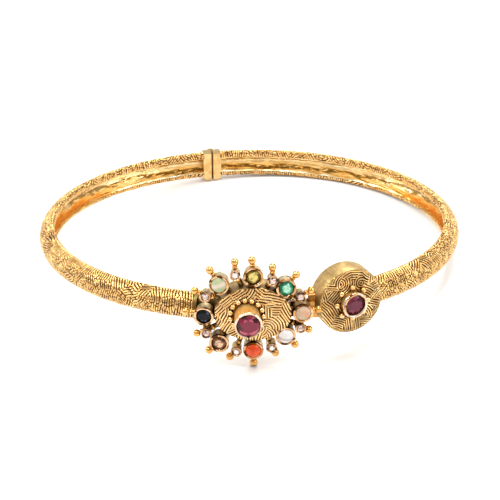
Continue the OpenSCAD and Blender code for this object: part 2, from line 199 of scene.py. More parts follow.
def gold(name, pale, deep, rough, grain, nook=0.0, depth=0.01, scratch=0.25, dent=0.0, stain=0.0,
         streak=0.0, top=None, metal=1.0, packed=False):
    """Gold in two soft tones, scratched and streaked along its grain, uneven from the hammer, with
    tarnish and painted shade in its nooks, tarnish in a few stains, and painted shade on top."""
    finish = Finish(name, metallic=metal)
    place = finish.packed() if packed else finish.own()
    patches = finish.noise(place, 0.8, 3).between(0.35, 0.65)
    scratches = finish.noise(place * grain)
    colour = finish.mix(patches, deep, pale)
    if streak:
        colour = finish.mix(scratches.between(0.35, 0.65) * streak, colour, tarnish_and_shade)
    # Painted shade: faces that look up are darkened towards the top tone.
    if top:
        facing = finish.dot(finish.node("NewGeometry", {}, {}, output="True Normal"), (0, 0, 1))
        colour = finish.mix(facing.between(0.6, 0.9) * 0.8, colour, top)
    if stain:
        stains = finish.noise(place + (3, 7, 5), 1.1, 3).between(0.70 - stain, 0.78 - stain)
        colour = finish.mix(stains, colour, tarnish_and_shade)
    # Tarnish with painted shade: the metal darkens deep in narrow gaps.
    if nook:
        colour = finish.mix(finish.nook(nook).between(0.15, 0.75), tarnish_and_shade, colour)
    relief = scratches + finish.noise(place, 1.5, 1) * dent
    return finish.set(base_color=colour, roughness=scratches * scratch + (rough - scratch / 2),
                      normal=finish.bump(relief, 0.5, depth))


def put(points, place):
    return np.asarray(points, float) @ place[:3, :3].T + place[:3, 3]


class Work:
    """The surfaces of one piece, gathered in millimetres on the level ring."""

    def __init__(self):
        self.points, self.own, self.faces, self.finishes, self.count = [], [], [], [], 0

    def add(self, surface, place=None, finish=0):
        """Adds points and faces, and each point's own place where that isn't the point itself.
        Own places are shifted from part to part, so that like parts differ in pattern."""
        points, faces, own = surface if len(surface) == 3 else (*surface, surface[0])
        points = np.asarray(points, float)
        self.points.append(points if place is None else put(points, place))
        shift = 0 if place is None else 7 * place[:3, 3]
        self.own.append(np.asarray(own, float) + shift)
        self.faces += [[self.count + corner for corner in face] for face in faces]
        self.finishes += finish if isinstance(finish, list) else [finish] * len(faces)
        self.count += len(points)

    def piece(self, name, body, materials, replaced=(), crease=40):
        mesh = bpy.data.meshes.new(name)
        points = put(np.concatenate(self.points), lying) / 1000
        mesh.from_pydata(points.tolist(), [], self.faces)
        own = mesh.attributes.new("own", "FLOAT_VECTOR", "POINT")
        own.data.foreach_set("vector", np.concatenate(self.own).astype(np.float32).ravel())
        for material in materials:
            mesh.materials.append(material)
        mesh.polygons.foreach_set("material_index", self.finishes)
        mesh.shade_smooth()
        mesh.set_sharp_from_angle(angle=math.radians(crease))
        item = placed(name, mesh)
        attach(item, body)
        if replaced:
            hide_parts(*replaced)


def unit(ways):
    return ways / np.linalg.norm(ways, axis=-1, keepdims=True)


def wrist_line(turn):
    angle = np.radians(turn)
    return np.stack([ring_half_width * np.sin(angle), -ring_half_depth * np.cos(angle),
                     0 * angle], -1)


def outward(turn):
    angle = np.radians(turn)
    return unit(np.stack([ring_half_depth * np.sin(angle), -ring_half_width * np.cos(angle),
                          0 * angle], -1))


def turn_for(length):
    return math.degrees(length / ring_half_width)


def measured(spots):
    """How far along a line each of its points is."""
    return np.concatenate([[0], np.cumsum(np.linalg.norm(np.diff(spots, axis=0), axis=1))])


def web(rows, columns, closed=False):
    """Faces of a net of points, row by row; a closed net joins its last column to its first."""
    net = np.arange(rows * columns).reshape(rows, columns)
    after = np.roll(net, -1, axis=1)
    quads = np.stack([net[:-1], after[:-1], after[1:], net[1:]], -1)
    return (quads if closed else quads[:, :-1]).reshape(-1, 4).tolist()


def capped(rings, closed=True):
    """A bar through rings of points, with a face over each end."""
    rings = np.asarray(rings, float)
    rows, columns = rings.shape[:2]
    ends = [list(range(columns))[::-1], list(range((rows - 1) * columns, rows * columns))]
    return rings.reshape(-1, 3), web(rows, columns, closed) + ends


def arc(middle, size, start, end, steps):
    """Points along an arc of a circle or an oval of that half size."""
    angles = np.radians(np.linspace(start, end, steps))
    return np.array(middle) + np.array(size) * np.stack([np.cos(angles), np.sin(angles)], -1)


# The sheet's section, as (depth out from the wrist, height): the outside with its rounded lips
# turned in to the wrist line, and the inside of the channel.
sheet_inset = wire_rise - wire_sunk + 0.03
sheet_depth, sheet_half = band_depth - sheet_inset, band_height / 2 - sheet_inset
channel_top, channel_bottom = band_height / 2 - upper_lip, lower_lip - band_height / 2
channel_depth, lip_round, lip_spare, ledge, section_step = 1.73, 0.36, 0.02, 0.2, 1.1
half_outside = np.concatenate([
    arc((0, 0), (sheet_depth, sheet_half), 0, 79, 24),
    arc((lip_round + lip_spare, sheet_half - lip_round - lip_spare), lip_round, 88, 180, 8)])
outside = np.concatenate([[(lip_spare, channel_bottom)], half_outside[:0:-1] * (1, -1),
                          half_outside, [(lip_spare, channel_top)]])
channel_middle = (channel_top + channel_bottom) / 2
channel_half = (channel_top - channel_bottom) / 2 - ledge
channel = np.concatenate([[(0.04, channel_top - 0.05), (0.16, channel_top - ledge)],
                          arc((0, channel_middle), (channel_depth, channel_half), 78, -78, 22),
                          [(0.16, channel_bottom + ledge), (0.04, channel_bottom + 0.05)]])
outside_run = measured(outside)
outside_run -= outside_run[len(half_outside)]
outside_way = unit(np.gradient(outside, axis=0)[:, ::-1] * (1, -1))


def band_sheet(start, end):
    """The band's sheet from one turn to another, with its two ends closed."""
    section = np.concatenate([outside, channel])
    turns = np.linspace(start, end, int(abs(end - start) / section_step) + 2)
    rings = (wrist_line(turns)[:, None] + section[None, :, :1] * outward(turns)[:, None]
             + section[None, :, 1:] * np.array([0, 0, 1]))
    points, faces = capped(rings)
    finishes = [0 if i % len(section) < len(outside) - 1 else 1 for i in range(len(faces) - 2)]
    lengths = turns[:, None] / degrees_a_radian * ring_half_width + 0 * rings[..., 0]
    own = np.stack([lengths, rings[..., 2], np.hypot(rings[..., 0], rings[..., 1])], -1)
    return (points, faces, own.reshape(-1, 3)), finishes + [1, 1]


def band_skin(start, end):
    """The band's outer sheet, by millimetres along the band and round its section."""
    turns = np.linspace(start, end, 400)
    run = measured(wrist_line(turns) + sheet_depth * outward(turns))

    def skin(spot):
        turn = np.interp(spot[:, 0], run, turns)
        depth, height, out, up = (np.interp(spot[:, 1], outside_run, line)[:, None]
                                  for line in (*outside.T, *outside_way.T))
        rise = np.array([0, 0, 1])
        return (wrist_line(turn) + depth * outward(turn) + height * rise,
                unit(out * outward(turn) + up * rise))

    return skin, run[-1]


def fillings(runs, middles, within, dice, pitch):
    """Short bits of wire, pressed into the bare spots that are left between the fields."""
    reach, margin, around, bare, recent = 0.09, 0.14, 2, 0.7 * pitch, 400
    laid = KDTree(sum(len(run) for run, width in runs))
    for i, spot in enumerate(np.concatenate([run for run, width in runs])):
        laid.insert((*spot, 0), i)
    laid.balance()
    grid = [np.arange(low - around, high + around, reach)
            for low, high in zip(middles.min(0), middles.max(0))]
    spots = np.stack(np.meshgrid(*grid), -1).reshape(-1, 2)
    inside = [within(spots + margin * np.array(way)) for way in ((1, 0), (-1, 0), (0, 1), (0, -1))]
    bits = []
    for spot in dice.permutation(spots[np.all(inside, axis=0)]):
        if bare < laid.find((*spot, 0))[2] < around and all(
                np.abs(spot - bit[1]).max() > bare for bit, width in bits[-recent:]):
            angle = dice.uniform(0, math.pi)
            bit = spot + np.outer((-reach, 0, reach), (math.cos(angle), math.sin(angle)))
            bits.append((bit, pitch))
    return bits


def wire_runs(fields, within, reach, dice, pitch=wire_pitch, bold=None):
    """Lays wires side by side over fields of (x, y, wire angle, bow). A field's wires are arcs
    about a focus that lies bow away from its middle, square to the wires. Where bold is a stretch
    of x, fields out of it or low on the band have finer wires in short bits."""
    overlap, traced, waver = 0.09, 4, 0.025
    middles = np.array([field[:2] for field in fields], float)
    runs = []
    for i, (x, y, angle, bow) in enumerate(fields):
        away = math.radians(angle) + math.pi / 2
        focus = middles[i] + bow * np.array([math.cos(away), math.sin(away)])
        distance = abs(bow)
        spread = np.linalg.norm(middles - middles[i], axis=1)
        near = (spread < 2 * reach) & (spread > 0)
        broken = bold and not (bold[0] < x < bold[1] and y > bold_above)
        width = pitch * (fine_share if broken else 1)
        half_turn = math.pi if distance < 1.6 * reach else 1.2 * math.asin(reach / distance)
        facing = math.atan2(*(middles[i] - focus)[::-1])
        radius = width * dice.uniform(0.3, 1.0)
        radius += width * max(0, int((distance - reach - radius) / width))
        while radius < distance + reach:
            count = max(28, traced * int(2 * half_turn * radius / wire_step))
            sweep = facing + np.linspace(-half_turn, half_turn, count)
            wander = radius + waver * np.sin(sweep * radius * 1.3 + dice.uniform(0, 6))
            run = focus + wander[:, None] * np.stack([np.cos(sweep), np.sin(sweep)], -1)
            squares = ((run[:, None] - middles[near]) ** 2).sum(2)
            room = (squares - ((run - middles[i]) ** 2).sum(1)[:, None]) / (2 * spread[near])
            free = (room.min(1) > -overlap) & within(run)
            edges = np.flatnonzero(np.diff(np.concatenate([[0], free, [0]])))
            for a, b in zip(edges[::2], edges[1::2]):
                while b - a > 3:
                    cut = b
                    if broken:
                        cut = min(b, a + int(dice.uniform(*bit_lengths) / wire_step * traced))
                    cut = b if b - cut < 6 else cut
                    kept = np.linspace(a, cut - 1, max(3, (cut - a) // traced + 2)).astype(int)
                    runs.append((run[kept], width * (bit_width if broken else 1)))
                    a = cut + 1
            radius += width * dice.uniform(0.95, 1.07)
    return runs + fillings(runs, middles, within, dice, pitch * fine_share if bold else pitch)


def solder(name, body, finish, runs, skin, dice, place=None, fill=wire_fill):
    """A piece of half-round wires along runs of points on a skin, which gives a place and a way up
    for each point. A wire is thinner at its ends, and short bits vary more in size."""
    short, thin_end = 8, 0.7
    across, over = np.array([(1, 0), (0.86, 0.66), (0.4, 1), (-0.4, 1), (-0.86, 0.66), (-1, 0)]).T
    wires = Work()
    for run, width in runs:
        spots, up = skin(run)
        side = np.cross(up, unit(np.gradient(spots, axis=0)))
        size = np.ones((len(run), 1, 1)) * dice.uniform(0.76 if len(run) < short else 0.9, 1.02)
        size[[0, -1]] *= thin_end
        rings = (spots[:, None] - wire_sunk * up[:, None]
                 + size * (side[:, None] * fill * width * across[:, None]
                           + up[:, None] * wire_rise * over[:, None]))
        length = np.arange(len(run))[:, None] * wire_step + 0 * over
        own = np.stack([length, length * 0 + dice.uniform(0, 99), length * 0 + over], -1)
        wires.add((*capped(rings, closed=False), own.reshape(-1, 3)), place)
    wires.piece(name, body, [finish], crease=75)


def mixed_fields(start, end, dice):
    """Fields of wire along a band, in rows of (height, step, share of fields across the band, share
    up to the arcs): long ones across its top and bottom, and small mixed ones between."""
    fields = []
    for row, step, across, arcs in ((2.9, 1.9, 0.45, 0.75), (1.3, 1.6, 0.4, 0.7),
                                    (-0.4, 1.6, 0.3, 0.6), (-1.9, 2.2, 0.5, 0.75),
                                    (-3.3, 3.2, 0.8, 0.9)):
        x = start + dice.uniform(0, 1)
        while x < end:
            kind, middle = dice.random(), row + dice.normal(0, 0.2)
            bow = dice.choice([-1, 1]) * dice.uniform(5, 14)
            if kind < across:
                fields.append((x, middle, dice.normal(95, 14), bow))
            elif kind < arcs:
                fields.append((x, middle, dice.uniform(0, 180), bow / 9))
            else:
                fields.append((x, middle, dice.uniform(10, 170), bow * 3))
            x += step * dice.uniform(0.7, 1.3)
    return fields


def wire_finish(name, pale, deep, grime, nook):
    """Wire with bright worn crests. Tarnish with painted shade lies down its sides, round its feet
    and in nooks, and tarnish in patches over the crests. Towards the back that tone is lighter."""
    finish = Finish(name, metallic=1.0)
    place = finish.own()
    tone = finish.noise(place * (0.5, 1, 0)).between(0.35, 0.65)
    # Painted shade: the wires' sides and feet, below the crest, take the groove tone.
    crest = (place.along("Z") + finish.noise(place * (2.5, 1, 0)) * 0.6 - 0.3).between(0.2, 0.8)
    scratches = finish.noise(place * (3, 1, 9), 2.0)
    worn = finish.noise(finish.packed(), 0.5, 3).between(0.38, 0.60)
    # Painted shade in nooks, and tarnish in random patches over the crests.
    crest = crest * finish.nook(nook).between(0.2, 0.6) * (worn * grime + (1 - grime))
    # The groove tone is lighter towards the back.
    back = finish.packed().along("Y").between(-6, 18)
    groove_tarnish_and_shade = finish.mix(back, tarnish_and_shade, back_tarnish_and_shade)
    return finish.set(base_color=finish.mix(crest, groove_tarnish_and_shade, finish.mix(tone, deep, pale)),
                      roughness=0.40 - crest * 0.24 + scratches * 0.1,
                      normal=finish.bump(scratches, 0.4, 0.01))


wire_gold = wire_finish("wire_gold", gold_pale, gold_deep, 0.2, 1.0)
# The sheet under and between the wires: dark with tarnish and with painted shade.
tarnish_and_shade_gold = gold("tarnish_and_shade_gold", (0.16, 0.07, 0.018), (0.06, 0.025, 0.007), 0.5, (7, 7, 7))


def channel_finish(name):
    """Polish with a painted orange reflection low in the channel. Over that a painted dark
    reflection runs round it as a streak, with painted highlights as glints below it, lower towards
    the hinge."""
    finish = Finish(name, metallic=1.0)
    place = finish.own()
    mottle = finish.noise(place * (0.35, 2.2, 2.2), 1.0, 3)
    flecks = finish.noise(place * (1.2, 3.5, 3.5))
    far = abs(place.along("X"))
    height = (place.along("Y") + far.between(38, 86) * 1.05
              + finish.noise(place * (0.25, 0, 0)) * 0.6 + mottle * 0.8 - 0.70)
    colour = finish.mix(mottle.between(0.4, 0.6), (0.92, 0.60, 0.24), (1.0, 0.78, 0.43))
    # Painted reflection: warm orange low in the channel.
    colour = finish.mix(height.between(-0.70, -0.48), (0.82, 0.37, 0.07), colour)
    bend = 1 - far.between(58, 74)
    # Painted dark reflection, as a streak round the channel.
    off = abs(height + bend * 0.15 - 0.12)
    streak = (1 - (off - bend * 0.2).between(0.05, 0.28)) * flecks.between(0.30, 0.48)
    dark_reflection_tone = finish.mix(bend, (0.17, 0.11, 0.03), (0.42, 0.28, 0.10))
    colour = finish.mix(streak, colour, dark_reflection_tone)
    # Painted highlights, as glints just below the streak, towards the back.
    glints = finish.noise(place * (0.5, 1.5, 1.5) + (4, 2, 1)).between(0.44, 0.56)
    glints = (1 - abs(height + 0.25).between(0.08, 0.25)) * glints * far.between(50, 64)
    return finish.set(base_color=finish.mix(glints, colour, (1.0, 0.96, 0.76)),
                      roughness=mottle * 0.2 + 0.12,
                      normal=finish.bump(mottle + flecks * 0.35, 0.8, 0.22))


channel_gold = channel_finish("channel_gold")


def make_band(name, body, start, end, seed, fields, bold, within=lambda spots: True):
    """Sheet and wires of a band. Bold is the stretch of long wires at its front, from the end that
    its lengths count from, or back from the other one."""
    dice = np.random.default_rng(seed)
    sheet = Work()
    surface, finishes = band_sheet(start, end)
    sheet.add(surface, finish=finishes)
    sheet.piece(name + "_sheet", body, [tarnish_and_shade_gold, channel_gold], [name])
    skin, length = band_skin(start, end)
    bold = (length + bold, length) if bold < 0 else (0, bold)

    def on_band(run):
        x, y = run.T
        return ((y > outside_run[0]) & (y < outside_run[-1]) & (x > band_end_gap)
                & (x < length - band_end_gap) & within(skin(run)[0]))

    runs = wire_runs(fields(length, dice), on_band, band_field_reach, dice, bold=bold)
    solder(name + "_wires", body, wire_gold, runs, skin, dice)


# Its fields near the cluster, as millimetres back from its front end, height round the band,
# angle of the wires, and bow. The rest of the band is laid the same way without a plan.
left_front = [
    (-0.9, 2.0, 104, 12), (-4.2, 2.1, 102, 16), (-2.8, 3.4, 96, 20), (-1.2, 0.8, 95, 8),
    (-5.9, 1.5, 112, 6), (-7.8, 2.3, 14, 9), (-8.9, 2.8, -34, 8), (-7.6, 1.5, 60, 1.6),
    (-12.0, 1.9, 116, 7), (-10.4, 3.3, 110, 20), (-10.3, 0.9, 20, 6), (-14.8, 1.0, 108, 5),
    (-17.6, 1.1, 115, 5), (-15.4, 2.5, 100, 14), (-18.8, 2.4, 93, 20), (-22.4, 2.4, 92, 20),
    (-22.2, 0.9, 105, 9), (-19.6, 0.9, 60, 3), (-25.2, 1.3, -24, 9), (-25.9, 2.4, 84, 12),
    (-28.2, 2.0, 95, 8), (-30.6, 1.7, 40, 3), (-32.4, 2.6, 6, -4), (-2.0, -0.9, 74, 14),
    (-4.8, -0.9, 76, -12), (-3.6, 0.6, 90, 20), (-5.9, 0.3, 82, 9), (-7.2, -0.3, 150, 2),
    (-7.9, 0.4, 60, 2), (-9.0, 0.2, 20, 3), (-8.6, -0.8, 100, 3), (-9.8, -0.1, 80, 2),
    (-11.0, 0.3, 145, 4), (-12.7, -0.5, 85, -2.6), (-14.5, -0.3, 70, 4), (-16.0, 0.1, 120, 3),
    (-17.4, -0.7, 62, -5), (-18.9, -0.1, 150, 2), (-20.4, -0.5, 66, 4), (-22.3, -0.3, 28, 3),
    (-24.0, -0.4, 110, 3), (-26.0, -0.2, 60, -3), (-27.9, 0.2, 135, 5), (-29.8, -0.2, 75, 3),
    (-31.5, 0.5, 20, 4), (-2.2, -2.6, 70, 12), (-6.4, -2.4, 66, 9), (-10.2, -2.3, 62, 9),
    (-13.6, -2.4, 60, -7), (-17.0, -2.5, 58, 12), (-21.0, -2.4, 64, 9), (-25.0, -2.4, 58, 8),
    (-29.0, -2.5, 60, 12), (-32.4, -1.2, 64, 7)]

left_planned = 33.5


def left_fields(length, dice):
    planned = [(length + x, *rest) for x, *rest in left_front]
    return mixed_fields(0, length - left_planned, dice) + planned


make_band("left_band", "cluster_half", hinge_turn + turn_for(hinge_leaf_reach), left_band_turn, 11,
          left_fields, bold=-33)

# Right band. The same band and wires, from the round case to the hinge. Its end is shaped to the
# case's wall and soldered to it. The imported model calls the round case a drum.
drum_turn, drum_up, drum_radius, drum_depth, drum_rise, drum_edge = 26.5, 0.72, 4.93, 3.2, 0.6, 0.17
drum_way = outward(drum_turn)
at_drum = (shifted(*(wrist_line(drum_turn) + (0, 0, drum_up)))
           @ turned("Z", math.degrees(math.atan2(drum_way[1], drum_way[0])) + 90) @ turned("X", 90))
off_drum = np.linalg.inv(at_drum)
right_end_share, wire_gap, behind_case, right_planned = 0.78, 0.06, -9, 14
right_front = [
    (2.0, 2.2, 60, 5), (4.6, 2.2, 84, 14), (7.6, 2.2, 80, 14), (2.2, 0.8, 30, 3),
    (4.2, 0.8, 92, 6), (6.0, 0.8, 95, 8), (8.0, 0.9, 35, 5), (9.9, 2.2, 45, 7),
    (11.8, 2.0, 130, 6), (3.2, -0.5, 115, 4), (5.4, -0.4, 80, -3), (7.6, -0.3, 140, 5),
    (10.0, 0.2, 60, 3), (2.2, -2.0, 118, 6), (5.0, -2.2, 112, 9), (8.4, -2.0, 120, 9),
    (11.8, -0.4, 25, 5), (12.4, -2.2, 116, 9)]


def clear_of_case(spots):
    local = put(spots, off_drum)
    return (np.hypot(*local[:, :2].T) > drum_radius + wire_gap) | (local[:, 2] < behind_case)


def right_fields(length, dice):
    return right_front + mixed_fields(right_planned, length + 2, dice)


make_band("right_band", "drum_half", drum_turn + turn_for(drum_radius * right_end_share),
          360 + hinge_turn - turn_for(hinge_leaf_reach), 23, right_fields, bold=16,
          within=clear_of_case)

# Hinge. Two plates of plain gold close the ends of the bands. They carry three knuckles, and a
# gold pin holds them together.
# Hinge gold: faces that look up are darker, as painted shade.
hinge_gold = gold("hinge_gold", (0.78, 0.54, 0.24), (0.62, 0.37, 0.13), 0.34, (3, 3, 8), nook=0.2,
                  depth=0.02, dent=8, top=(0.40, 0.29, 0.12), packed=True)


def dress(nodes, material):
    """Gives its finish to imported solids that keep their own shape."""
    for node in nodes:
        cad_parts[node].data.materials.clear()
        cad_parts[node].data.materials.append(material)


dress(["left_hinge_leaf", "right_hinge_leaf", "hinge_pin"], hinge_gold)

# Cluster frame. An oval box of sheet gold behind the dome, and round it sixteen collars, each with
# its rim folded over its stone, and a ball on a ringed stem. Bars solder the collars to the box.
# The rims and balls are rubbed bright, and the collars' walls, the box and the bars are dull.
cluster_right, cluster_up, cluster_out = 0.41, 0.39, 3.6
box_half_length, box_half_height, box_wall, box_depth, dome_rise = 5.55, 4.15, 0.4, 3.7, 0.75
gem_collar_radius, gem_radius, diamond_collar_radius, diamond_radius = 1.49, 1.12, 0.82, 0.58
collar_depth, collar_lean, collar_floor, collar_steps = 1.9, 8, 0.6, 40
bar_down, bar_radius, bar_bite, small_ball_radius, stem_radius = 1.5, 0.4, 0.2, 0.38, 0.28
end_bar_thickness, end_bar_half, end_bar_rounding = 1.25, 1.6, 0.08
at_cluster = shifted(cluster_right, -ring_half_depth - cluster_out, cluster_up) @ turned("X", 90)

# Each collar's place to the right and up, and the bearing, reach, drop and radius of its ball
settings = {
    "yellow_sapphire": (0.10, 5.80, 94, 2.20, 1.2, 0.60),
    "emerald": (4.82, 3.99, 50, 2.20, 1.2, 0.58),
    "opal": (7.22, 0.03, 8, 2.20, 0.7, 0.52),
    "pearl": (4.72, -3.66, -54, 2.20, 1.2, 0.58),
    "coral": (0.00, -5.90, -89, 2.40, 1.2, 0.59),
    "hessonite": (-4.94, -4.68, -133, 2.10, 1.2, 0.58),
    "blue_sapphire": (-7.08, -0.34, 173, 2.58, 1.2, 0.57),
    "cats_eye": (-4.86, 4.63, 123, 2.24, 1.2, 0.60),
    "diamond_1": (2.90, 5.18, 92, 1.70, 1.2, 0.59),
    "diamond_2": (6.86, 2.52, 24, 1.60, 1.2, 0.56),
    "diamond_3": (6.82, -2.43, -29, 1.35, 1.2, 0.57),
    "diamond_4": (2.67, -5.53, -67, 1.35, 1.2, 0.56),
    "diamond_5": (-2.48, -6.08, -127, 1.50, 1.2, 0.58),
    "diamond_6": (-6.80, -3.06, -161, 1.35, 1.2, 0.56),
    "diamond_7": (-6.85, 2.77, 159, 1.50, 1.2, 0.56),
    "diamond_8": (-2.51, 6.10, 90, 1.65, 1.2, 0.60)}


def bulge_radius(half_width, rise):
    """Radius of an arc that rises that far over that half width."""
    return (half_width ** 2 + rise ** 2) / (2 * rise)


spindle_radius = bulge_radius(box_half_height, dome_rise)
length_radius = bulge_radius(box_half_length, dome_rise)


def spindle(x):
    return spindle_radius - length_radius + np.sqrt(np.maximum(length_radius ** 2 - x * x, 0))


def dome_height(x, y):
    return np.sqrt(np.maximum(spindle(x) ** 2 - y * y, 0)) - spindle_radius + dome_rise


def box_edge(x):
    """How high the box's oval is at x: there the dome comes down to nothing."""
    return np.sqrt(np.maximum(spindle(x) ** 2 - (spindle_radius - dome_rise) ** 2, 0))


def oval(steps, inset=0.0):
    angle = 2 * math.pi * (np.arange(steps) + 0.5) / steps
    x = box_half_length * np.cos(angle)
    y = np.sign(np.sin(angle)) * box_edge(x)
    return np.stack([x * (1 - inset / box_half_length), y * (1 - inset / box_half_height)], -1)


def lathe(profile, steps, wobble=None):
    """Turns a profile of (radius, height) about Z; wobble moves points, as an edge bent by hand."""
    points, rows = [], []
    angles = 2 * math.pi * np.arange(steps) / steps
    for radius, height in profile:
        count = 1 if radius < 1e-6 else steps
        rows.append([len(points) + i % count for i in range(steps)])
        for angle in angles[:count]:
            r, z = wobble(angle, radius, height) if wobble else (radius, height)
            points.append((r * math.cos(angle), r * math.sin(angle), z))
    faces = []
    for low, high in zip(rows, rows[1:]):
        for i in range(steps):
            j = (i + 1) % steps
            faces.append(list(dict.fromkeys((low[i], low[j], high[j], high[i]))))
    return np.array(points), faces


def row_finishes(steps, *rows):
    """The finish of each face of a turned part, from (finish, how many rows) along its profile."""
    return [finish for finish, count in rows for face in range(steps * count)]


def ball(radius):
    return lathe(arc((0, 0), radius, -90, 90, 13), 20)


def box_walls():
    """The oval box: a wall with the catch's slot through it, a rim, and a floor."""
    steps, chamfer, about, floor_level = 96, 0.06, 5, -3.35
    slot_row, slot_low, slot_high = 2, -1.9, 1.12
    levels = [-box_depth, chamfer - box_depth, -3.19, -2.05, -1.2, -0.5, -chamfer, 0]
    insets = [chamfer, 0, 0, 0, 0, 0, 0, chamfer]
    outer, inner = oval(steps), oval(steps, box_wall)
    points, faces = [], []
    for wall, way, lowest in ((outer, -1, -box_depth), (inner, 1, floor_level)):
        for level, inset in zip(levels, insets):
            points += [(x, y, max(level, lowest)) for x, y in wall * (1 + way * inset / about)]
    middles = (outer + np.roll(outer, -1, 0)) / 2
    slot = {i for i, (x, y) in enumerate(middles) if x > 0 and slot_low < y < slot_high}
    deep, top = len(levels) * steps, (len(levels) - 1) * steps

    def through(a, b):
        return [a, b, deep + b, deep + a]

    for k, (a, b, c, d) in enumerate(web(len(levels), steps, closed=True)):
        row, i = divmod(k, steps)
        if row != slot_row or i not in slot:
            faces += [[a, b, c, d], [deep + d, deep + c, deep + b, deep + a]]
        else:
            faces += [through(a, b), through(c, d)]
            faces += [through(b, c)] if (i + 1) % steps not in slot else []
            faces += [through(d, a)] if (i - 1) % steps not in slot else []
    faces += [through(top + i, top + (i + 1) % steps) for i in range(steps)]
    faces += [list(range(steps))[::-1], list(range(deep, deep + steps))]
    return np.array(points), faces


def at_setting(right, up):
    bearing = math.degrees(math.atan2(up, right))
    return (at_cluster @ shifted(right, up, 0) @ turned("Z", bearing) @ turned("Y", collar_lean)
            @ turned("Z", -bearing))


def hand_bent(dice, counts):
    """How far an edge bent by hand strays at an angle round it, in so many waves."""
    waves = [(k, dice.uniform(0, 6.3), dice.uniform(0.4, 1)) for k in counts]
    return lambda angle: sum(size * math.sin(k * angle + start) for k, start, size in waves)


def folded_collar(radius, stone, dice, depth=collar_depth):
    """A collar: a slightly waisted wall, and a rim folded over the stone, bent a little by hand."""
    stray = hand_bent(dice, (2, 3, 5))
    profile = [(0, -depth), (radius - 0.1, -depth), (radius - 0.09, -depth * 0.75),
               (radius - 0.08, -depth * 0.5), (radius - 0.04, -0.45), (radius, -0.27),
               (radius, -0.13), (radius - 0.03, -0.04), (radius - 0.1, 0), (stone + 0.08, -0.02),
               (stone, -0.07), (stone - 0.03, -0.14), (stone + 0.02, -0.22), (stone + 0.06, -0.5),
               (stone + 0.06, collar_floor - depth), (0, collar_floor - depth)]

    def bent(angle, r, z):
        if r < stone * 0.9 or z < -0.6:
            return r, z
        wave = stray(angle)
        inner = r < (radius + stone) / 2
        return r + (0.022 * wave if inner else -0.008 * abs(wave)), z + 0.014 * wave - 0.014
    return lathe(profile, collar_steps, bent)


def ball_on_stem(right, up, bearing, reach, down, radius):
    place = at_cluster @ shifted(right, up, -down) @ turned("Z", bearing) @ turned("Y", 90)
    start = reach - radius
    profile = [(0, 0.3), (stem_radius, 0.3), (stem_radius, start - 0.34), (0.38, start - 0.31),
               (0.43, start - 0.23), (0.43, start - 0.12), (0.38, start - 0.03),
               (stem_radius, start + 0.02), *arc((0, reach), radius, -62, 90, 12)]
    return lathe(profile, 22), place


frame_gold = gold("frame_gold", (0.62, 0.43, 0.17), (0.46, 0.30, 0.11), 0.36, (3, 3, 9), nook=2.0,
                  dent=4, stain=0.03)
# Darker gold for the end bar and the band's cap, as painted shade.
shaded_bar_gold = gold("shaded_bar_gold", (0.40, 0.28, 0.10), (0.20, 0.13, 0.045), 0.4, (3, 3, 3), nook=1.5)
setting_gold = gold("setting_gold", (0.78, 0.64, 0.36), (0.50, 0.36, 0.16), 0.34, (5, 5, 1),
                    nook=1.0, dent=5, stain=0.12)
collar_gold = gold("collar_gold", (0.84, 0.53, 0.30), (0.52, 0.26, 0.09), 0.2, (3, 3, 3), nook=0.6,
                   scratch=0.16, dent=8, stain=0.19)
ball_gold = gold("ball_gold", (0.86, 0.51, 0.18), (0.70, 0.34, 0.08), 0.14, (4, 4, 4), nook=0.6,
                 scratch=0.1, dent=1.5)
dice = np.random.default_rng(5)
work = Work()
work.add(box_walls(), at_cluster)
for name, row in settings.items():
    right, up = row[:2]
    small = name.startswith("diamond")
    collar = diamond_collar_radius if small else gem_collar_radius
    work.add(folded_collar(collar, diamond_radius if small else gem_radius, dice),
             at_setting(right, up), row_finishes(collar_steps, (4, 4), (1, 11)))
    work.add(*ball_on_stem(*row), 2)
    toward, out = math.atan2(up, right), math.hypot(up, right)
    edge = 1 / math.hypot(math.cos(toward) / box_half_length, math.sin(toward) / box_half_height)
    spoke = at_cluster @ turned("Z", math.degrees(toward))
    length = out - edge + box_wall + bar_bite - collar
    work.add(lathe([(0, 0), (bar_radius, 0), (bar_radius, length), (0, length)], 18),
             spoke @ shifted(edge - box_wall, 0, -bar_down) @ turned("Y", 90))
    if small:
        work.add(ball(small_ball_radius), spoke @ shifted(
            out - collar - small_ball_radius, 0, small_ball_radius - bar_down), 2)

# The bar from the left band's end to the box, and the cap that closes the band. Both are darker,
# as painted shade.
end_turn = left_band_turn + turn_for(0.05)
end, out = wrist_line(end_turn), outward(end_turn)
left_box = cluster_right - box_half_length + bar_bite
corners = [end[:2], end[:2] + end_bar_thickness * out[:2],
           (left_box, -ring_half_depth - end_bar_thickness), (left_box, -ring_half_depth)]
half, round_half = end_bar_half, end_bar_half - end_bar_rounding
bar = np.array([[(x, y, z) for x, y in corners] for z in (-half, -round_half, round_half, half)])
for level in (0, 3):
    middle = bar[level].mean(0)
    bar[level] = middle + (bar[level] - middle) * (0.985, 0.9, 1)
work.add(capped(bar), finish=3)
rise, ahead = np.array([0, 0, 1]), np.cross([0, 0, 1], out)
half_round = arc((0, 0), (band_depth, band_height / 2), -90, 90, 25)
cap = [[end + step * ahead + size * (depth * out + height * rise) for depth, height in half_round]
       for step, size in ((0, 0.985), (0.06, 1), (0.44, 1), (0.5, 0.97))]
work.add(capped(cap), finish=3)
work.piece("cluster_collars", "cluster_half",
           [frame_gold, collar_gold, ball_gold, shaded_bar_gold, setting_gold], ["cluster_frame"])

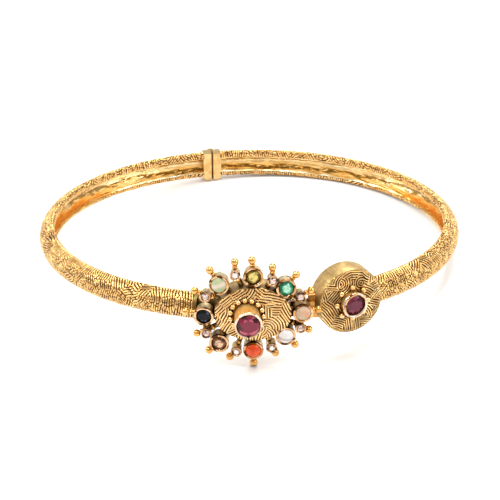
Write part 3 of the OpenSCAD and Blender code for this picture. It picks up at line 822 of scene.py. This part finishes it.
# Cluster dome. The box's lid is a low dome covered with the same wires. On it stands the tall
# flared collar of the ruby, within a ring of fifteen granules.
ruby_left, ruby_up, ruby_rise, ruby_lean, ruby_shift, ruby_radius = 0.88, 0.12, 3.9, 3.5, 0.12, 1.7
ruby_foot_radius, ruby_collar_radius, granule_ring, granule_radius = 1.85, 2.05, 2.38, 0.38
ruby_seat, dome_wire_pitch, lid_field_reach, tall_steps = 0.2, 0.38, 3.5, 64
least_height, dome_foot = 0.02, -0.12
at_ruby_base = at_cluster @ shifted(-ruby_left, ruby_up, 0) @ turned("Y", ruby_lean)
dome_fields = [
    (2.9, -1.4, 126, 1.35), (3.2, 0.9, -6, -9), (1.9, 0.9, 90, 30), (2.5, 1.6, 0, 30),
    (4.7, 0.5, -62, 14), (1.9, 2.9, -5, 14), (3.1, 2.4, -14, -8), (-0.2, 3.4, 60, 3),
    (-1.9, 3.2, 35, 10), (0.9, 3.5, -40, 3), (-3.8, 1.9, 40, 18), (-4.7, 0.9, 48, 12),
    (-4.2, -0.4, 66, -12), (-3.6, -1.9, 60, -9), (-5.0, -1.0, 62, 9), (-3.3, 0.4, 80, 3),
    (-1.8, -3.4, 88, 30), (-0.4, -3.7, 96, 20), (0.8, -3.2, 76, 12), (1.5, -2.9, 45, 1.2),
    (-2.9, -2.8, 30, 4), (2.4, -3.0, 120, 1.2)]
steps, rings = 96, 14
points = [(0, 0, dome_rise - sheet_inset)]
for ring in range(1, rings + 1):
    for x, y in oval(steps, 0.03) * (ring / rings):
        points.append((x, y, max(float(dome_height(x, y)) - sheet_inset, least_height)))
points += [(x, y, dome_foot) for x, y in oval(steps, 0.06)]
faces = [[0, 1 + i, 1 + (i + 1) % steps] for i in range(steps)]
faces += [[1 + corner for corner in face][::-1] for face in web(rings + 1, steps, closed=True)]
sheet = Work()
sheet.add((points, faces), at_cluster)
sheet.piece("dome_sheet", "cluster_half", [tarnish_and_shade_gold], ["cluster_dome"])


def dome_skin(spot):
    (x, y), step = spot.T, 0.01
    height = dome_height(x, y)
    way = np.stack([height - dome_height(x + step, y), height - dome_height(x, y + step),
                    0 * x + step], -1)
    return np.stack([x, y, np.maximum(height - sheet_inset, least_height)], -1), unit(way)


def on_dome(run):
    x, y = run.T
    return ((np.abs(x) < box_half_length - 0.1) & (np.abs(y) < box_edge(x) - 0.03)
            & (np.hypot(x + ruby_left, y - ruby_up) > ruby_foot_radius + 0.1))


dice = np.random.default_rng(31)
dome_gold = wire_finish("dome_gold", (1.0, 0.72, 0.36), (1.0, 0.60, 0.24), 0.2, 2.2)
runs = wire_runs(dome_fields, on_dome, lid_field_reach, dice, dome_wire_pitch)
solder("dome_wires", "cluster_half", dome_gold, runs, dome_skin, dice, at_cluster)


def tall_collar(foot, rim_radius, hole, seat, stone, low, high, shift, dice):
    """A flared collar from its foot to its rim, which is folded in to a hole. The stone is set off
    the middle, on a seat below the rim; a hole no wider than the stone goes with it."""
    stray, tall = hand_bent(dice, (2, 3, 5, 7)), high - low
    profile = [(foot - 0.02, low), (foot, low + 0.3 * tall), (foot + 0.03, low + 0.55 * tall),
               (rim_radius - 0.09, high - 0.55), (rim_radius - 0.02, high - 0.3),
               (rim_radius, high - 0.16), (rim_radius - 0.03, high - 0.05),
               (rim_radius - 0.08, high), (rim_radius - 0.15, high - 0.01),
               (hole + 0.06, high - 0.07), (hole, high - 0.13),
               (0.6 * hole + 0.4 * stone, high - 0.5 * seat), (stone + 0.02, high - seat),
               (stone + 0.06, high - seat - 0.2), (stone + 0.06, high - 1.0), (0, high - 1.0)]

    def bent(angle, r, z):
        if z < high - 0.5 and r > stone + 0.08 or r < 0.1:
            return r, z
        wave = stray(angle)
        z_bent = z + 0.012 * wave - 0.01
        if r >= rim_radius - 0.11:
            return r - 0.01 * abs(wave), z_bent
        off = shift[0] * math.cos(angle) + shift[1] * math.sin(angle)
        wide = hole > stone and r > hole - 0.02
        return r + off * (-0.4 if wide else 1) + (0.02 * wave if z > high - 0.2 else 0), z_bent
    return lathe(profile, tall_steps, bent)


def granules(work, place, count, first, ring, radius, middle, height):
    """A ring of granules, counted from the first, each sunk to half its radius in the skin."""
    for i in range(count):
        angle = 2 * math.pi * (i + first) / count
        x, y = ring * math.cos(angle) + middle[0], ring * math.sin(angle) + middle[1]
        work.add(ball(radius), place @ shifted(x, y, float(height(x, y)) + radius / 2), 2)


collar_wall_gold = gold("collar_wall_gold", (1.0, 0.66, 0.22), (0.96, 0.50, 0.12), 0.32,
                        (7, 7, 0.5), depth=0.02, streak=0.3, metal=0.5)
rim_gold = gold("rim_gold", (0.96, 0.74, 0.56), (0.78, 0.50, 0.30), 0.22, (3, 3, 3), nook=0.4,
                scratch=0.14, dent=7, stain=0.1)
granule_gold = gold("granule_gold", (1.0, 0.72, 0.38), (0.88, 0.54, 0.21), 0.15, (4, 4, 4),
                    nook=0.8, scratch=0.1, dent=1.5)
tall_finishes = row_finishes(tall_steps, (0, 5), (1, 5), (4, 2), (3, 3))
tall_golds = [collar_wall_gold, rim_gold, granule_gold, tarnish_and_shade_gold, collar_gold]
work = Work()
work.add(tall_collar(ruby_foot_radius, ruby_collar_radius, ruby_radius - 0.01, ruby_seat,
                     ruby_radius, 0.3, ruby_rise, (0, -ruby_shift), dice),
         at_ruby_base, tall_finishes)
granules(work, at_cluster, 15, 0, granule_ring, granule_radius, (-ruby_left, ruby_up), dome_height)
work.piece("ruby_collar", "cluster_half", tall_golds)

# Round case. A flat round box of sheet gold with a brushed wall, joined to the cluster by a neck
# and the catch's tongue. It is closed by a low domed face, covered with wires, and the stone's
# collar stands on it within a ring of eight granules.
neck_left, neck_up, neck_height, neck_thickness = 8.3, 0.15, 3.7, 1.9
drum_foot_radius, drum_collar_radius, drum_collar_rise, drum_hole = 1.7, 1.98, 1.8, 1.64
drum_ruby_radius, drum_ruby_seat, drum_shift = 1.42, 0.4, 0.12
drum_granule_ring, drum_granule_radius, face_wire_pitch, face_wire_fill = 2.4, 0.42, 0.34, 0.31
case_gold = gold("case_gold", (0.66, 0.46, 0.19), (0.52, 0.35, 0.13), 0.46, (9, 9, 0.3), nook=1.0,
                 depth=0.04, streak=0.3)
# The neck and the catch's tongue are darker, as painted shade and a painted dark reflection.
shaded_neck_gold = gold("shaded_neck_gold", (0.85, 0.44, 0.12), (0.38, 0.16, 0.04), 0.22, (1, 1, 6), nook=2.5)
work = Work()
case_hole, case_floor = drum_radius - 0.4, 0.4
work.add(lathe([(0, 0), (drum_radius - 0.15, 0), (drum_radius - 0.04, 0.04), (drum_radius, 0.15),
                (drum_radius, 1.0), (drum_radius, 2.0), (drum_radius, drum_depth - 0.08),
                (drum_radius - 0.03, drum_depth), (case_hole, drum_depth), (case_hole, case_floor),
                (0, case_floor)], 96), at_drum)
half = neck_height / 2
inner = np.array([neck_left, -ring_half_depth + 1.05])
outline = np.array([inner, inner - (0, neck_thickness), inner - (-3, neck_thickness - 0.3),
                    inner + (3, -0.15)])
away = np.sign(outline - outline.mean(0))
neck = [[(*corner, level + neck_up) for corner in outline - shrink * away]
        for level, shrink in ((-half, 0.12), (-half + 0.03, 0.05), (-half + 0.12, 0),
                              (half - 0.12, 0), (half - 0.03, 0.05), (half, 0.12))]
work.add(capped(neck), finish=1)
root, tip = np.array([8.6, -ring_half_depth - 0.3]), np.array([4.3, -ring_half_depth - 1.4])
side = unit(np.array([root[1] - tip[1], tip[0] - root[0]])) * 0.25
tongue = [[(*corner, level) for corner in (root - side, tip - side, tip + side, root + side)]
          for level in (-1.2, -1.1, 1.1, 1.2)]
work.add(capped(tongue), finish=1)
work.piece("round_case", "drum_half", [case_gold, shaded_neck_gold], ["drum_case"])

drum_bulge = bulge_radius(drum_radius, drum_rise - drum_edge)


def face_height(x, y=0):
    return drum_depth + drum_rise - drum_bulge + np.sqrt(drum_bulge ** 2 - x * x - y * y)


sheet = Work()
profile = [(0, drum_depth + 0.1), (case_hole, drum_depth + 0.06),
           (drum_radius - 0.05, drum_depth + 0.05), (drum_radius - 0.04, drum_depth + 0.1)]
profile += [(r, float(face_height(r)) - sheet_inset)
            for r in np.linspace(drum_radius - 0.05, drum_foot_radius - 0.3, 12)]
sheet.add(lathe(profile, 72), at_drum, row_finishes(72, (1, 4), (0, 11)))
sheet.piece("case_face_sheet", "drum_half", [tarnish_and_shade_gold, case_gold],
            ["drum_dome"])
face_fields = [
    (-2.3, 3.6, 65, -1.5), (1.5, 3.3, 0, -0.6), (0.6, 4.4, -9, 12), (-0.6, 4.4, 20, -6),
    (-4.2, 1.7, 104, 20), (-3.2, 1.6, 46, 20), (-4.3, 0.1, 132, -6), (-3.3, -0.9, 120, 14),
    (-3.7, -2.3, 124, 30), (-2.0, -2.9, 154, 6), (-2.4, -4.0, 148, 20), (-0.2, -3.9, 98, 20),
    (0.7, -4.0, 98, 14), (2.2, -3.3, 164, 20), (2.9, -2.4, 104, 1.5), (3.9, -2.4, 48, 20),
    (4.0, -0.8, 154, 20), (4.0, 0.4, 40, 14), (4.0, 1.9, 20, 9), (3.3, 3.3, 84, 20),
    (2.3, 3.4, -40, 3), (-3.2, 2.9, 170, 5), (-0.9, 3.2, 100, 0.8), (2.9, 1.2, 140, 3)]


def face_skin(spot):
    x, y = spot.T
    height = face_height(x, y)
    way = np.stack([x, y, height - drum_depth - drum_rise + drum_bulge], -1) / drum_bulge
    return np.stack([x, y, height - sheet_inset], -1), way


def on_face(run):
    r = np.linalg.norm(run, axis=1)
    return (r < drum_radius - 0.03) & (r > drum_foot_radius + 0.1)


dice = np.random.default_rng(47)
face_gold = wire_finish("face_gold", (1.0, 0.76, 0.38), (1.0, 0.56, 0.19), 0.5, 2.8)
runs = wire_runs(face_fields, on_face, lid_field_reach, dice, face_wire_pitch)
solder("case_face_wires", "drum_half", face_gold, runs, face_skin, dice, at_drum, face_wire_fill)

work = Work()
work.add(tall_collar(drum_foot_radius, drum_collar_radius, drum_hole, drum_ruby_seat,
                     drum_ruby_radius, drum_depth + 0.2, drum_depth + drum_collar_rise,
                     (drum_shift, -drum_shift), dice), at_drum, tall_finishes)
granules(work, at_drum, 8, 2, drum_granule_ring, drum_granule_radius, (0, 0), face_height)
work.piece("case_collar", "drum_half", tall_golds)

# Stones. Cut ones have a table and facets over a point, and the opal, pearl, coral and cat's eye
# are domes. Each sits under its collar's folded rim.


def set_stone(finish, nodes, colour, cloud):
    dress(nodes, finish.set(base_color=colour, roughness=cloud * 0.06 + 0.04))


def cut_stone(name, nodes, dark, middle, flash, table=0.0, flashes=0.6, through=0.15, gloss=0.15,
              ior=1.77):
    """A clear cut stone: each facet shows its own mix of the stone's dark, middle and flash tones,
    as painted reflections, clouded a little inside, and it darkens as painted shade where it sinks
    into its collar. Table is how far the table takes the flash tone, as a painted highlight."""
    finish = Finish(name, ior=ior, transmission_weight=through, specular_ior_level=gloss)
    facet = finish.node("NewGeometry", {}, {}, output="True Normal")
    cloud = finish.noise(finish.packed(), 1.4, 3)
    tone = finish.noise(facet, 3.2, 0) * 0.5 + cloud * 0.5
    colour = finish.mix(tone.between(0.42, 0.53), dark, middle)
    bright = finish.noise(facet + (3, 1, 2), 3.1, 0) * 0.7 + cloud * 0.3
    colour = finish.mix(bright.between(flashes, flashes + 0.06), colour, flash)
    if table:
        # Painted highlight on the table.
        facing = finish.dot(facet, tuple(lying[:3, :3] @ (0, -1, 0))).between(0.975, 0.985)
        colour = finish.mix(facing * cloud.between(0.25, 0.55) * table, colour, flash)
    # Painted shade where the stone sinks into its collar.
    set_stone(finish, nodes, finish.mix(finish.nook(0.5).between(0.2, 0.8), dark, colour), cloud)


cut_stone("ruby_red", ["ruby"], (0.035, 0.002, 0.006), (0.235, 0.014, 0.040), (0.54, 0.10, 0.155),
          flashes=0.52)
cut_stone("case_ruby_red", ["drum_ruby"], (0.045, 0.004, 0.012), (0.15, 0.012, 0.036),
          (0.27, 0.03, 0.07), flashes=0.56)
cut_stone("yellow_sapphire_olive", ["yellow_sapphire"], (0.12, 0.065, 0.006), (0.42, 0.30, 0.04),
          (0.92, 0.74, 0.22), flashes=0.50)
cut_stone("emerald_green", ["emerald"], (0.004, 0.13, 0.06), (0.01, 0.30, 0.14),
          (0.50, 0.90, 0.66), table=0.95)
cut_stone("hessonite_brown", ["hessonite"], (0.09, 0.03, 0.01), (0.26, 0.10, 0.035),
          (0.95, 0.62, 0.38), table=1.0)
cut_stone("blue_sapphire_ink", ["blue_sapphire"], (0.001, 0.001, 0.003), (0.004, 0.005, 0.010),
          (0.08, 0.09, 0.13), flashes=0.60, gloss=0.04)
cut_stone("diamond_pink", [name for name in settings if name.startswith("diamond")],
          (0.16, 0.08, 0.06), (0.72, 0.50, 0.42), (1.0, 0.92, 0.86), flashes=0.47, through=0.0,
          ior=2.0)


def domed_stone(name, nodes, colours, cell, band=None):
    """A stone ground to a dome: two tones in clouds, flecks of a third, or a soft painted band, a
    highlight on the cat's eye and shade on the pearl. It darkens as painted shade at its collar.
    """
    finish = Finish(name, ior=1.5, specular_ior_level=0.45)
    place = finish.packed()
    cloud = finish.noise(place, cell, 2)
    colour = finish.mix(cloud.between(0.4, 0.6), *colours[:2])
    for i, fleck in enumerate(colours[2:]):
        flecks = finish.noise(place + (5.0 * i + 9, 2, 4), 1.6 * cell, 2).between(0.5, 0.75)
        colour = finish.mix(flecks, colour, fleck)
    if band:
        way, offset, half, tone = band
        near = abs(finish.dot(place, way) - offset).between(0.2 * half, half)
        colour = finish.mix(near, tone, colour)
    # Painted shade where the dome sinks into its collar.
    shade = tuple(0.4 * part for part in colours[1])
    set_stone(finish, nodes, finish.mix(finish.nook(0.7).between(0.25, 0.85), shade, colour), cloud)


domed_stone("opal_milk", ["opal"],
            [(0.54, 0.31, 0.20), (0.66, 0.44, 0.32), (0.36, 0.50, 0.28), (0.80, 0.28, 0.10)], 0.9)
domed_stone("pearl_white", ["pearl"], [(0.84, 0.82, 0.80), (0.74, 0.70, 0.68)], 0.7,
            band=((0.25, 0, 0.97), 5.95, 0.35, (0.52, 0.43, 0.41)))
domed_stone("coral_orange", ["coral"], [(0.82, 0.085, 0.006), (0.68, 0.05, 0.003)], 1.2)
domed_stone("cats_eye_green", ["cats_eye"], [(0.47, 0.51, 0.29), (0.36, 0.44, 0.22)], 0.7,
            band=((-0.35, 0, 0.94), 14.4, 0.5, (0.70, 0.57, 0.46)))

# Floor and light. A plain white table, and large soft lights from above on all sides, as a small
# product is photographed in.
floor_mesh = bpy.data.meshes.new("floor")
floor_mesh.from_pydata([(-3, -3, 0), (3, -3, 0), (3, 3, 0), (-3, 3, 0)], [], [(0, 1, 2, 3)])
floor_white = Finish("floor_white", roughness=0.6, base_color=(0.93, 0.93, 0.93))
floor_mesh.materials.append(floor_white.material)
placed("floor", floor_mesh)

world = bpy.data.worlds.new("studio")
Finish("sky", world, "Background", color=(0.80, 0.79, 0.77), strength=0.85)
bpy.context.scene.world = world
bpy.context.scene.view_settings.view_transform = "Standard"

for name, place, size, power in (
        ("left", (-0.50, 0.05, 0.45), 0.25, 1.8),
        ("back", (0.10, 0.45, 0.50), 0.30, 2.2),
        ("front", (-0.08, -0.22, 0.55), 0.15, 0.9),
        ("top", (0.10, 0.05, 0.70), 0.20, 1.2),
        ("right", (0.50, -0.10, 0.35), 0.25, 1.0)):
    lamp = bpy.data.lights.new(name, "AREA")
    lamp.size, lamp.energy = size, power
    light = placed(name, lamp)
    light.location = place
    light.rotation_euler = (-light.location).to_track_quat("-Z", "Y").to_euler()
